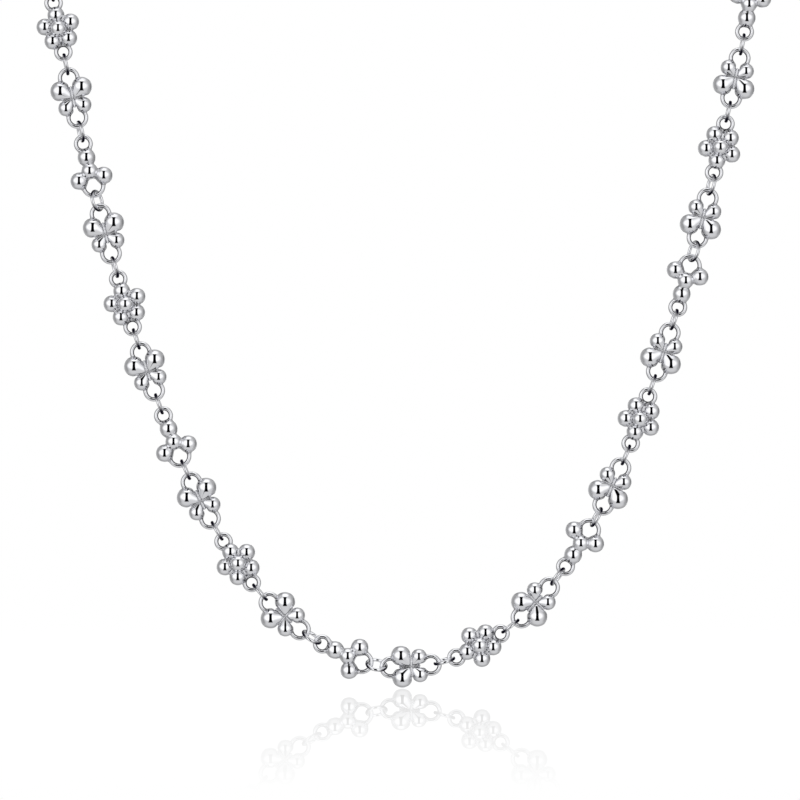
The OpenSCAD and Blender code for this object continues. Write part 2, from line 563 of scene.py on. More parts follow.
@dataclass(frozen=True)
class Eye(Form):
    """A ring of round wire, flat in the casting's plane, which may be open towards the casting's middle."""

    satin: ClassVar[float] = 0.12

    x: float
    r: float
    wire: float
    opening: float = 0.0
    open_lean: float = 0.50
    shut_lean: float = 0.80
    shut_share: float = 1.3
    steps: int = 48
    sides: int = 16

    def painted_inner_shade(self, at: Points, out: Points) -> Points:
        """Painted shade on the ring's inner side, by how far points face its middle.

        Args:
            at: The points, on the skin.
            out: The way straight out of the skin at each of them.

        Returns:
            A share for each point, which may pass 1.
        """
        outward = at[:, :2] - (self.x, 0)
        outward /= np.linalg.norm(outward, axis=1, keepdims=True)
        lean = -(outward * out[:, :2]).sum(axis=1)
        return painted_shade_by_lean(lean, self.open_lean, self.shut_lean, self.shut_share)

    def half_arc(self) -> float:
        """Half of the arc that the wire takes, to each side of the ring's outer end."""
        return math.pi - math.radians(self.opening) / 2

    def add_to(self, bm: bmesh.types.BMesh) -> None:
        """Spins the wire's round section about the ring's middle.

        Args:
            bm: The mesh that the ring is added to.
        """
        outward = 0.0 if self.x > 0 else math.pi
        first = Matrix.Rotation(outward - self.half_arc(), 4, "Z")
        place = Matrix.Translation((self.x, 0, 0)) @ first
        spin_wire(bm, place, self.r, self.wire, self.steps, self.sides, 2 * self.half_arc())

    def distance(self, at: Points) -> Points:
        """How far points lie outside the wire, whose ends are round.

        Args:
            at: The points.

        Returns:
            A distance for each of them, below 0 inside.
        """
        outward = (at[:, 0] - self.x) * math.copysign(1, self.x)
        aside = np.abs(at[:, 1])
        ring = crested(np.hypot(outward, aside) - self.r, at[:, 2])
        end_x, end_y = self.r * math.cos(self.half_arc()), self.r * math.sin(self.half_arc())
        end = crested(np.hypot(outward - end_x, aside - end_y), at[:, 2])
        return np.where(np.arctan2(aside, outward) <= self.half_arc(), ring, end) - self.wire / 2


def crested(aside: Points, up: Points) -> Points:
    """How far points lie from the middle of a section whose crest is a little sharper than a round one."""
    return (np.abs(aside) ** CREST_POWER + np.abs(up) ** CREST_POWER) ** (1 / CREST_POWER)


def spin_wire(
    bm: bmesh.types.BMesh, place: Matrix, r: float, wire: float, steps: int, sides: int, arc: float
) -> None:
    """Adds a ring of round wire, or an arc of one with flat ends.

    Args:
        bm: The mesh that it is added to.
        place: Turns and moves the ring, which is made flat about Z and starts on X.
        r: Radius of the circle of wire.
        wire: Thickness of the wire.
        steps: Sections round the ring.
        sides: Sides of a section.
        arc: Angle that the wire takes.
    """
    closed = arc >= FULL_TURN
    own = bmesh.new()
    upright = Matrix.Translation((r, 0, 0)) @ Matrix.Rotation(QUARTER_TURN, 4, "X")
    bmesh.ops.create_circle(own, cap_ends=False, segments=sides, radius=wire / 2, matrix=upright)
    still = (0, 0, 0)
    round_z = {"cent": still, "axis": (0, 0, 1), "dvec": still, "angle": arc, "steps": steps}
    bmesh.ops.spin(own, geom=list(own.verts) + list(own.edges), use_merge=closed, **round_z)
    if not closed:
        close_holes(own)
    bmesh.ops.transform(own, matrix=place, verts=own.verts)
    add_mesh(bm, own)


# Castings


@dataclass
class Casting(ABC):
    """A piece that is cast from several plain forms, with small fillets where they meet.

    The grain is the size of the first mesh's faces, and the kept share of them stays. The reaches say how far
    out the painted shade of the hollows looks for other parts, the groove's light is what a narrow groove
    still gets, and the crease is the width of the seams that are painted dark with shade.
    """

    fillet: float = 0.075
    grain: float = 0.09
    kept_share: float = 0.42
    relax_rounds: int = 3
    relax_share: float = 0.5
    settle_rounds: int = 6
    least_steep: float = 0.05
    slope_step: float = 1e-4
    hollow_reach: float = 2.2
    groove_reach: float = 0.6
    groove_light: float = 0.75
    crease: float = 0.07
    crease_share: float = 0.75
    skin: bpy.types.Mesh | None = field(default=None, init=False)
    normals: Points | None = field(default=None, init=False)

    @abstractmethod
    def forms(self) -> list[Form]:
        """The plain forms that are fused."""

    def distances(self, at: Points) -> Points:
        """How far points lie outside each form, in one row for each of the forms."""
        return np.stack([form.distance(at) for form in self.forms()])

    def distance(self, at: Points) -> Points:
        """How far points lie outside the fused casting, whose forms run into each other in fillets.

        Args:
            at: The points.

        Returns:
            A distance for each of them, below 0 inside.
        """
        each = self.distances(at)
        nearest = each.min(axis=0)
        return nearest - self.fillet * np.log(np.exp((nearest - each) / self.fillet).sum(axis=0))

    def slope(self, at: Points) -> Points:
        """Which way the distance grows at some points, and how fast.

        Args:
            at: The points.

        Returns:
            A vector for each point.
        """
        shifts = np.eye(3) * self.slope_step
        spans = [self.distance(at + shift) - self.distance(at - shift) for shift in shifts]
        return np.stack(spans, axis=1) / (2 * self.slope_step)

    def settled(self, at: Points) -> Points:
        """Moves points onto the casting's skin.

        Args:
            at: The points, which lie close to it.

        Returns:
            Their new places.
        """
        for _ in range(self.settle_rounds):
            way = self.slope(at)
            steep = np.maximum((way * way).sum(axis=1, keepdims=True), self.least_steep)
            at = at - way * (self.distance(at)[:, None] / steep)
        return at

    def hollows(self, at: Points, out: Points) -> Points:
        """Painted shade: how far the casting closes points in, from 0 on an open crown to 1 or more in a
        groove.

        Args:
            at: The points, on the skin.
            out: The way straight out of the skin at each of them.

        Returns:
            A value for each point.
        """
        reaches = (self.hollow_reach, self.groove_reach)
        far, near = [np.clip(1 - self.distance(at + out * reach) / reach, 0, 1) for reach in reaches]
        nearest = self.nearest(at)
        raised = np.array([form.raised for form in self.forms()])[nearest]
        closed = far ** 2 * (1 - self.groove_light * near) * (1 - raised)
        own = np.stack([form.painted_inner_shade(at, out) for form in self.forms()])[nearest, np.arange(len(at))]
        # Painted shade, the largest of: far parts closing in, the form's own inner side, and dark painted
        # seams.
        return np.maximum.reduce([closed, own, self.creases(at) * self.crease_share])

    def creases(self, at: Points) -> Points:
        """How close points lie to a seam between two forms.

        Args:
            at: The points.

        Returns:
            A share for each of them, with 1 on the seam.
        """
        each = self.distances(at)
        others = np.exp((each.min(axis=0) - each) / self.crease).sum(axis=0) - 1
        return np.clip(others, 0, 1)

    def nearest(self, at: Points) -> Points:
        """The number of the form that each point lies nearest to."""
        return self.distances(at).argmin(axis=0)

    def satins(self, at: Points) -> Points:
        """How satin the silver is at points, from 0 on a polished bead to 1 in a seam."""
        own = np.array([form.satin for form in self.forms()])[self.nearest(at)]
        return np.maximum(own, self.creases(at))

    def make(self) -> None:
        """Fuses the forms into one skin, which every copy of the casting then shares."""
        bm = bmesh.new()
        for form in self.forms():
            form.add_to(bm)
        bmesh.ops.recalc_face_normals(bm, faces=bm.faces)
        rough = mesh_of(bm, "rough_casting")
        fused = modified(rough, "REMESH", {"mode": "VOXEL", "voxel_size": self.grain})
        for _ in range(self.relax_rounds):
            self.settle(fused)
            relax(fused, self.relax_share)
        self.settle(fused)
        self.skin = modified(fused, "DECIMATE", {"ratio": self.kept_share, "use_collapse_triangulate": True})
        self.settle(self.skin)
        at = places(self.skin)
        way = self.slope(at)
        self.normals = way / np.linalg.norm(way, axis=1, keepdims=True)
        # Painted shade, which the finish darkens the base colour with.
        add_layer(self.skin, "painted_shade", self.hollows(at, self.normals))
        add_layer(self.skin, "satin", self.satins(at))

    def settle(self, mesh: bpy.types.Mesh) -> None:
        """Moves a mesh's vertices onto the casting's skin."""
        mesh.vertices.foreach_set("co", self.settled(places(mesh)).ravel())
        mesh.update()

    def piece(self, name: str, place: Matrix, finish: bpy.types.Material) -> bpy.types.Object:
        """Makes one copy of the casting.

        Args:
            name: Name of the copy.
            place: Where it hangs, in millimetres.
            finish: Its material.

        Returns:
            The copy, unturned at the origin, with its place in its mesh.
        """
        if self.skin is None:
            self.make()
        mesh = self.skin.copy()
        mesh.transform(Matrix.Scale(MM, 4) @ place)
        mesh.shade_smooth()
        turn = np.array(place.to_3x3())
        mesh.normals_split_custom_set_from_vertices((self.normals @ turn.T).tolist())
        return piece_of(mesh, name, finish)


class Link(Casting):
    """A casting that the string repeats, with an eye at both ends."""

    eye_r: float
    eye_wire: float
    reach_1: float
    reach_2: float

    def second_eye_r(self) -> float:
        """Radius of the second eye's circle of wire."""
        return self.eye_r


@dataclass
class ButterflyLink(Link):
    """Four drop-shaped petals that meet in the middle, with an eye between each pair."""

    petal_angle: float = 48.0
    large_r: float = 1.70
    large_reach: float = 2.45
    large_nose_r: float = 1.20
    large_nose_x: float = 1.25
    large_press: float = 46.0
    small_r: float = 1.33
    small_reach: float = 2.00
    small_nose_r: float = 0.93
    small_nose_x: float = 1.02
    small_press: float = 44.0
    core_r: float = 0.62
    rib_half: float = 0.17
    rib_height: float = 0.86
    rib_height_across: float = 0.88
    rib_reach_1: float = 2.08
    rib_reach_2: float = 1.50
    rib_reach_across: float = 1.85
    fillet: float = 0.045
    grain: float = 0.065
    kept_share: float = 0.22
    eye_r: float = 1.47
    eye_opening: float = 80.0
    reach_1: float = 3.52
    reach_2: float = 3.24
    eye_wire: float = 0.72

    def forms(self) -> list[Form]:
        """The plain forms.

        Returns:
            The petals, the core that they grow from, the ribs between them, and the eyes.
        """
        large = (self.large_nose_x, self.large_nose_r, self.large_reach - self.large_nose_x, self.large_r)
        small = (self.small_nose_x, self.small_nose_r, self.small_reach - self.small_nose_x, self.small_r)
        petals: list[Form] = []
        for side in (-1, 1):
            petals.append(Petal(*large, HALF_CIRCLE - side * self.petal_angle, press=self.large_press))
            petals.append(Petal(*small, side * self.petal_angle, press=self.small_press))
        across = self.rib_reach_across
        ribs: list[Form] = [
            Rib(-self.rib_reach_1, self.rib_reach_2, self.rib_half, self.rib_height),
            Rib(-across, across, self.rib_half, self.rib_height_across, RIGHT_ANGLE),
        ]
        eyes = [Eye(x, self.eye_r, self.eye_wire, self.eye_opening) for x in (-self.reach_1, self.reach_2)]
        return petals + [Core(0, 0, 0, self.core_r)] + ribs + eyes


@dataclass
class FlowerLink(Link):
    """Five round beads about a raised one, with an eye at both ends."""

    bead_r: float = 1.42
    ring_r: float = 2.30
    middle_r: float = 1.33
    middle_rise: float = 0.9
    core_r: float = 1.5
    rib_start: float = 0.75
    rib_end: float = 2.35
    rib_half: float = 0.19
    rib_height: float = 0.85
    fillet: float = 0.05
    grain: float = 0.065
    kept_share: float = 0.32
    eye_r: float = 1.20
    reach_1: float = 4.36
    reach_2: float = 3.98
    eye_wire: float = 0.72
    petals: int = 5

    def forms(self) -> list[Form]:
        """The plain forms.

        Returns:
            The beads, the core behind the raised one, the ribs between the beads, and the eyes.
        """
        beads: list[Form] = [Ball(0, 0, self.middle_rise, self.middle_r), Core(0, 0, 0, self.core_r)]
        for number in range(self.petals):
            turn = FULL_TURN * number / self.petals
            beads.append(Ball(-self.ring_r * math.cos(turn), -self.ring_r * math.sin(turn), 0, self.bead_r))
            between = math.degrees(turn) + HALF_CIRCLE + HALF_CIRCLE / self.petals
            beads.append(Rib(self.rib_start, self.rib_end, self.rib_half, self.rib_height, between))
        eyes = [Eye(-self.reach_1, self.eye_r, self.eye_wire), Eye(self.reach_2, self.eye_r, self.eye_wire)]
        return beads + eyes


@dataclass
class TrefoilLink(Link):
    """Three round beads about a middle one, with a small eye and a large one."""

    middle_r: float = 1.37
    middle_rise: float = 0.4
    end_r: float = 1.50
    end_reach: float = 2.34
    side_r: float = 1.46
    side_reach: float = 2.45
    side_angle: float = 60.0
    fillet: float = 0.14
    eye_r: float = 1.235
    reach_1: float = 4.67
    large_eye_r: float = 1.65
    reach_2: float = 2.53
    eye_wire: float = 0.72

    def second_eye_r(self) -> float:
        """Radius of the second eye's circle of wire."""
        return self.large_eye_r

    def forms(self) -> list[Form]:
        """The plain forms.

        Returns:
            The beads and the eyes.
        """
        turn = math.radians(self.side_angle)
        x, y = self.side_reach * math.cos(turn), self.side_reach * math.sin(turn)
        beads: list[Form] = [
            Ball(0, 0, self.middle_rise, self.middle_r),
            Ball(-self.end_reach, 0, 0, self.end_r),
            Ball(x, -y, 0, self.side_r),
            Ball(x, y, 0, self.side_r),
        ]
        small_eye = Eye(-self.reach_1, self.eye_r, self.eye_wire)
        return beads + [small_eye, Eye(self.reach_2, self.large_eye_r, self.eye_wire)]


@dataclass
class Clasp(Casting):
    """Plain closed clasp: an eye, a swelling body and a closed hook, in one piece."""

    eye_x: float = 2.1
    hook_x: float = 13.7
    eye_r: float = 1.2
    eye_wire: float = 0.72
    hook_r: float = 2.1
    hook_wire: float = 1.2
    body_r: float = 1.6
    neck_r: float = 0.8
    neck_share: float = 0.25

    def forms(self) -> list[Form]:
        """The plain forms.

        Returns:
            The eye, the body, which starts in the eye's wire, and the hook.
        """
        neck_x = self.eye_x + self.eye_r + self.eye_wire * self.neck_share
        body_x = self.hook_x - self.hook_r - self.body_r
        return [
            Eye(self.eye_x, self.eye_r, self.eye_wire),
            Drop(neck_x, self.neck_r, body_x - neck_x, self.body_r),
            Eye(self.hook_x, self.hook_r, self.hook_wire),
        ]


# The string


@dataclass(frozen=True)
class Hang:
    """Where a piece hangs: its middle in the necklace's plane, and the string's slope there."""

    x: float
    z: float
    slope: float

    def matrix(self) -> Matrix:
        """Puts a piece that lies along X, with its front up, in this place."""
        sloped = Matrix.Rotation(math.radians(-self.slope), 4, "Y")
        return Matrix.Translation((self.x, 0, self.z)) @ sloped @ Matrix.Rotation(QUARTER_TURN, 4, "X")


def heading(slope: float) -> Vector:
    """Unit step in X and Z along a slope in degrees."""
    return Vector((math.cos(math.radians(slope)), math.sin(math.radians(slope))))


@dataclass
class String:
    """The walk of links and jump rings down one side of the neck and up the other.

    It hangs as a curve of the sag's radius over the front's length, to both sides of the lowest point, and
    closes behind the neck in an arc. Some links stand a few degrees off the curve, as they do in the photo.
    """

    order: ClassVar[tuple[Kind, ...]] = (Kind.BUTTERFLY, Kind.TREFOIL, Kind.BUTTERFLY, Kind.FLOWER)

    links: int = 37
    middle: int = 18
    sag_r: float = 22.5
    slope_share: float = 0.983
    front_len: float = 130.0
    middle_offset: float = 1.1
    ring_wire: float = 0.58
    ring_bore: float = 2.60
    ring_play: float = 0.06
    link_turns: Mapping[int, float] = field(
        default_factory=lambda: {13: -1, 16: 2.6, 17: -1.5, 18: 1, 19: -1.5, 21: -1, 22: 1, 23: 1.3}
    )
    castings: Mapping[Kind, Link] = field(
        default_factory=lambda: {
            Kind.BUTTERFLY: ButterflyLink(),
            Kind.FLOWER: FlowerLink(),
            Kind.TREFOIL: TrefoilLink(),
        }
    )

    def __post_init__(self) -> None:
        """Walks the string once, link by link."""
        self.from_first = [0.0]
        for i in range(self.links - 1):
            self.from_first.append(self.from_first[i] + self.ahead(i) + self.behind(i + 1))
        self.start = self.along(0) - self.behind(0)
        self.end = self.along(self.links - 1) + self.ahead(self.links - 1)
        self.top_slope = self.slope_share * math.degrees(math.atan(self.front_len / self.sag_r))
        self.arc_len = (self.end - self.start) / 2 - self.front_len
        walk = [Vector((0.0, 0.0))]
        for i in range(self.links - 1):
            walk.append(walk[i] + self.step_on(i) - self.step_back(i + 1))
        first = walk[0] + self.step_back(0)
        last = walk[-1] + self.step_on(self.links - 1)
        self.clasp_span = (first - last).length
        self.clasp_slope = math.degrees(math.atan2(first.y - last.y, first.x - last.x))
        rest = (first + last) / 2 - Vector((0, Clasp().body_r))
        self.link_spots = [spot - rest for spot in walk]
        steps_on = [walk[i] + self.step_on(i) for i in range(self.links)]
        self.ring_spots = [spot - rest for spot in [first] + steps_on]

    def kind(self, i: int) -> Kind:
        """The kind of a link, counted from 0."""
        return self.order[i % len(self.order)]

    def node_name(self, i: int) -> str:
        """The name of a link's node: links of one kind are numbered on their own, from 1."""
        number = sum(self.kind(other) is self.kind(i) for other in range(i + 1))
        return f"{self.kind(i).value}_{number:02d}"

    def to_eye(self, eye_r: float, wire: float) -> float:
        """From a ring's middle to the middle of an eye that hangs in it."""
        return self.ring_bore / 2 - self.ring_play - wire / 2 + eye_r

    def to_first(self, i: int) -> float:
        """From a link's first eye to the middle of the ring before the link."""
        link = self.castings[self.kind(i)]
        return self.to_eye(link.eye_r, link.eye_wire)

    def to_second(self, i: int) -> float:
        """From a link's second eye to the middle of the ring after the link."""
        link = self.castings[self.kind(i)]
        return self.to_eye(link.second_eye_r(), link.eye_wire)

    def behind(self, i: int) -> float:
        """From a link's middle back to the middle of the ring before it."""
        return self.castings[self.kind(i)].reach_1 + self.to_first(i)

    def ahead(self, i: int) -> float:
        """From a link's middle on to the middle of the ring after it."""
        return self.castings[self.kind(i)].reach_2 + self.to_second(i)

    def along(self, i: int) -> float:
        """A link's place along the string, from the lowest point."""
        return self.from_first[i] - self.from_first[self.middle] + self.middle_offset

    def slope(self, s: float) -> float:
        """The string's slope: a hanging curve in front, and an arc behind the neck.

        Args:
            s: Place along the string, from the lowest point.

        Returns:
            The slope in degrees: 0 at the lowest point, and 180 or -180 behind the neck.
        """
        free = min(abs(s), self.front_len)
        hanging = self.slope_share * math.degrees(math.atan(free / self.sag_r))
        behind_neck = (HALF_CIRCLE - self.top_slope) * (abs(s) - free) / self.arc_len
        return math.copysign(hanging + behind_neck, s)

    def link_slope(self, i: int) -> float:
        """A link's slope, with its own small turn."""
        return self.slope(self.along(i)) + self.link_turns.get(i, 0)

    def ring_slope(self, i: int) -> float:
        """The slope of the jump ring after a link, which lies halfway between its neighbours'.

        Args:
            i: The link's number, or -1 for the ring before the first link.

        Returns:
            The slope in degrees.
        """
        if i < 0:
            return self.slope(self.start)
        if i >= self.links - 1:
            return self.slope(self.end)
        return (self.link_slope(i) + self.link_slope(i + 1)) / 2

    def step_back(self, i: int) -> Vector:
        """From a link's middle to the ring before it."""
        reach = self.castings[self.kind(i)].reach_1
        return -reach * heading(self.link_slope(i)) - self.to_first(i) * heading(self.ring_slope(i - 1))

    def step_on(self, i: int) -> Vector:
        """From a link's middle to the ring after it."""
        reach = self.castings[self.kind(i)].reach_2
        return reach * heading(self.link_slope(i)) + self.to_second(i) * heading(self.ring_slope(i))

    def link_hang(self, i: int) -> Hang:
        """Where a link hangs."""
        return Hang(*self.link_spots[i], self.link_slope(i))

    def ring_hang(self, i: int) -> Hang:
        """Where the jump ring after a link hangs, or with -1 the ring before the first link."""
        return Hang(*self.ring_spots[i + 1], self.ring_slope(i))

    def clasp(self) -> Clasp:
        """Sizes the clasp to close the loop.

        Returns:
            The clasp, which starts with its eye at the ring after the last link.
        """
        plain = Clasp()
        hook_x = self.clasp_span - self.to_eye(plain.hook_r, plain.hook_wire)
        return Clasp(eye_x=self.to_eye(plain.eye_r, plain.eye_wire), hook_x=hook_x)

    def build(self, finish: bpy.types.Material) -> None:
        """Makes and hangs every link and the clasp.

        Args:
            finish: Their material.
        """
        for i in range(self.links):
            name = self.node_name(i)
            link = self.castings[self.kind(i)]
            fit(link.piece(f"polished_{name}", self.link_hang(i).matrix(), finish), name)
        last_ring = self.ring_hang(self.links - 1)
        place = Hang(last_ring.x, last_ring.z, self.clasp_slope).matrix()
        fit(self.clasp().piece("polished_clasp", place, finish), "clasp")


@dataclass
class JumpRings:
    """The round wire rings that join the links, in two halves."""

    string: String
    steps: int = 60
    sides: int = 16
    open_lean: float = 0.20
    shut_lean: float = 0.50
    shut_share: float = 1.3
    turns: Mapping[int, float] = field(
        default_factory=lambda: {
            2: 12, 5: -16, 7: -6, 8: -14, 9: 25, 10: -10, 16: 16, 17: 28, 18: 5,
            20: -12, 21: 8, 24: 5, 25: 23, 26: 14, 31: -18, 34: 10,
        }
    )

    def half(self, name: str, numbers: range, finish: bpy.types.Material) -> bpy.types.Object:
        """Makes the rings of one half.

        Args:
            name: Name of the piece.
            numbers: The links that the rings follow.
            finish: Their material.

        Returns:
            All the rings as one piece.
        """
        wire = self.string.ring_wire
        r = (self.string.ring_bore + wire) / 2
        first = bmesh.new()
        spin_wire(first, Matrix(), r, wire, self.steps, self.sides, FULL_TURN)
        bmesh.ops.recalc_face_normals(first, faces=first.faces)
        ring = mesh_of(first, "ring")
        closed = self.hollows(places(ring), r, wire)
        bm = bmesh.new()
        for i in numbers:
            rolled = Matrix.Rotation(math.radians(RIGHT_ANGLE + self.turns.get(i, 0)), 4, "X")
            place = Matrix.Scale(MM, 4) @ self.string.ring_hang(i).matrix() @ rolled
            hung = ring.copy()
            hung.transform(place)
            bm.from_mesh(hung)
            bpy.data.meshes.remove(hung)
        mesh = mesh_of(bm, name)
        mesh.shade_smooth()
        # Painted shade inside the eyes, which the finish darkens the base colour with.
        add_layer(mesh, "painted_shade", np.tile(closed, len(numbers)))
        return piece_of(mesh, name, finish)

    def hollows(self, at: Points, r: float, wire: float) -> Points:
        """Painted shade where the eyes close a ring in at its two ends.

        Args:
            at: Points on the ring, which lies flat about Z.
            r: Radius of the circle of wire.
            wire: Thickness of the wire.

        Returns:
            A value for each point.
        """
        away = np.hypot(at[:, 0], at[:, 1])
        lean = np.abs(at[:, 0]) / away * (away - r) / (wire / 2)
        return painted_shade_by_lean(lean, self.open_lean, self.shut_lean, self.shut_share)

    def build(self, finish: bpy.types.Material) -> None:
        """Makes both halves.

        Args:
            finish: Their material.
        """
        middle, links = self.string.middle, self.string.links
        left = self.half("polished_jump_rings_left", range(-1, middle), finish)
        fit(left, "jump_rings_left")
        right = self.half("polished_jump_rings_right", range(middle, links), finish)
        fit(right, "jump_rings_right")


# Meshes and pieces


def mesh_of(bm: bmesh.types.BMesh, name: str) -> bpy.types.Mesh:
    """Writes a bmesh to a new mesh.

    Args:
        bm: The bmesh, which is freed afterwards.
        name: Name of the mesh.

    Returns:
        The mesh.
    """
    mesh = bpy.data.meshes.new(name)
    bm.to_mesh(mesh)
    bm.free()
    return mesh


def add_mesh(bm: bmesh.types.BMesh, part: bmesh.types.BMesh) -> None:
    """Adds one bmesh to another.

    Args:
        bm: The mesh that it is added to.
        part: The mesh that is added, which is freed afterwards.
    """
    mesh = mesh_of(part, "part")
    bm.from_mesh(mesh)
    bpy.data.meshes.remove(mesh)


def close_holes(bm: bmesh.types.BMesh) -> None:
    """Fills the open edges of a mesh with faces."""
    bmesh.ops.holes_fill(bm, edges=[edge for edge in bm.edges if edge.is_boundary], sides=0)


def add_layer(mesh: bpy.types.Mesh, name: str, values: Points) -> None:
    """Gives each vertex of a mesh a value, which its finish reads."""
    layer = mesh.attributes.new(name, "FLOAT", "POINT")
    layer.data.foreach_set("value", values.astype(np.float32))


def linked(name: str, data: bpy.types.ID) -> bpy.types.Object:
    """Makes a mesh or a camera an object of the scene.

    Args:
        name: Name of the object.
        data: The mesh or camera.

    Returns:
        The object, unturned at the origin.
    """
    made = bpy.data.objects.new(name, data)
    bpy.context.scene.collection.objects.link(made)
    return made


def modified(mesh: bpy.types.Mesh, kind: str, settings: Mapping[str, Any]) -> bpy.types.Mesh:
    """Applies one modifier to a mesh.

    Args:
        mesh: The mesh, which is removed afterwards.
        kind: Blender's type of the modifier.
        settings: Its properties.

    Returns:
        The new mesh.
    """
    holder = linked("holder", mesh)
    modifier = holder.modifiers.new("shape", kind)
    for name, value in settings.items():
        setattr(modifier, name, value)
    made = bpy.data.meshes.new_from_object(holder.evaluated_get(bpy.context.evaluated_depsgraph_get()))
    bpy.data.objects.remove(holder)
    bpy.data.meshes.remove(mesh)
    return made


def relax(mesh: bpy.types.Mesh, share: float) -> None:
    """Evens out a mesh's faces by moving each vertex towards the middle of its neighbours.

    Args:
        mesh: The mesh.
        share: How much of the way it moves.
    """
    every_way = {"use_axis_x": True, "use_axis_y": True, "use_axis_z": True}
    bm = bmesh.new()
    bm.from_mesh(mesh)
    bmesh.ops.smooth_vert(bm, verts=bm.verts, factor=share, **every_way)
    bm.to_mesh(mesh)
    bm.free()


def places(mesh: bpy.types.Mesh) -> Points:
    """Reads the places of a mesh's vertices.

    Args:
        mesh: The mesh.

    Returns:
        A row for each vertex.
    """
    flat = np.empty(len(mesh.vertices) * 3, np.float32)
    mesh.vertices.foreach_get("co", flat)
    return flat.reshape(-1, 3).astype(float)


def piece_of(mesh: bpy.types.Mesh, name: str, finish: bpy.types.Material) -> bpy.types.Object:
    """Makes a finished mesh an object of the scene.

    Args:
        mesh: The mesh, in its place and in metres.
        name: The piece's name.
        finish: Its material.

    Returns:
        The object, unturned at the origin.
    """
    mesh.name = name
    mesh.materials.clear()
    mesh.materials.append(finish)
    return linked(name, mesh)


def fit(piece: bpy.types.Object, node: str) -> None:
    """Lets a piece stand for its node, and reports how close the two lie.

    Args:
        piece: The finished piece.
        node: The node that it replaces.
    """
    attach(piece, PLAIN_BODY)
    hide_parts(node)
    at = places(piece.data)
    low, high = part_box(node)
    off = max(np.abs(at.min(axis=0) - low).max(), np.abs(at.max(axis=0) - high).max()) / MM
    piece.data.calc_loop_triangles()
    triangles = len(piece.data.loop_triangles)
    LOG.info("%s: %d triangles, box within %.3f mm of its node", piece.name, triangles, off)


# Studio


class Patch(ABC):
    """A part of the studio, given where a polished ball shows it, in shares of the ball's radius."""

    light: float

    @abstractmethod
    def share(self, across: Term, up: Term) -> Term:
        """How much of the patch shows at a place across and up the ball."""

    def over(self, light: Term, across: Term, up: Term) -> Term:
        """Lays the patch over what is there.

        Args:
            light: Brightness without the patch.
            across: Place across the ball.
            up: Place up the ball.

        Returns:
            Brightness with it.
        """
        return light.towards(self.light, self.share(across, up))


@dataclass(frozen=True)
class Cloth(Patch):
    """A lit or shaded stretch of the tent's cloth: an oval with a soft edge."""

    x: float
    y: float
    half_x: float
    half_y: float
    light: float
    soft: float

    def share(self, across: Term, up: Term) -> Term:
        """How much of the stretch shows at a place across and up the ball."""
        right, high = (across - self.x) / self.half_x, (up - self.y) / self.half_y
        return 1 - right.diagonal(high).past(1, self.soft)


@dataclass(frozen=True)
class Slit(Patch):
    """An upright gap in the tent, such as the one that the camera looks through, wider at its ends."""

    low: float
    high: float
    waist: float
    flare: float
    taper: float = 0.0
    x: float = 0.0
    light: float = 0.0
    soft: float = 0.03

    def share(self, across: Term, up: Term) -> Term:
        """How much of the gap shows at a place on the ball.

        Args:
            across: Place across the ball.
            up: Place up the ball.

        Returns:
            A share, with 1 inside the gap.
        """
        height = (up - (self.low + self.high) / 2) / ((self.high - self.low) / 2)
        ends = height.size()
        half = self.waist + ends * ends * ends * self.flare - height * self.taper
        aside = (across - self.x).size() - half
        return (1 - aside.past(0, self.soft)) * (1 - ends.past(1, self.soft / (self.high - self.low)))


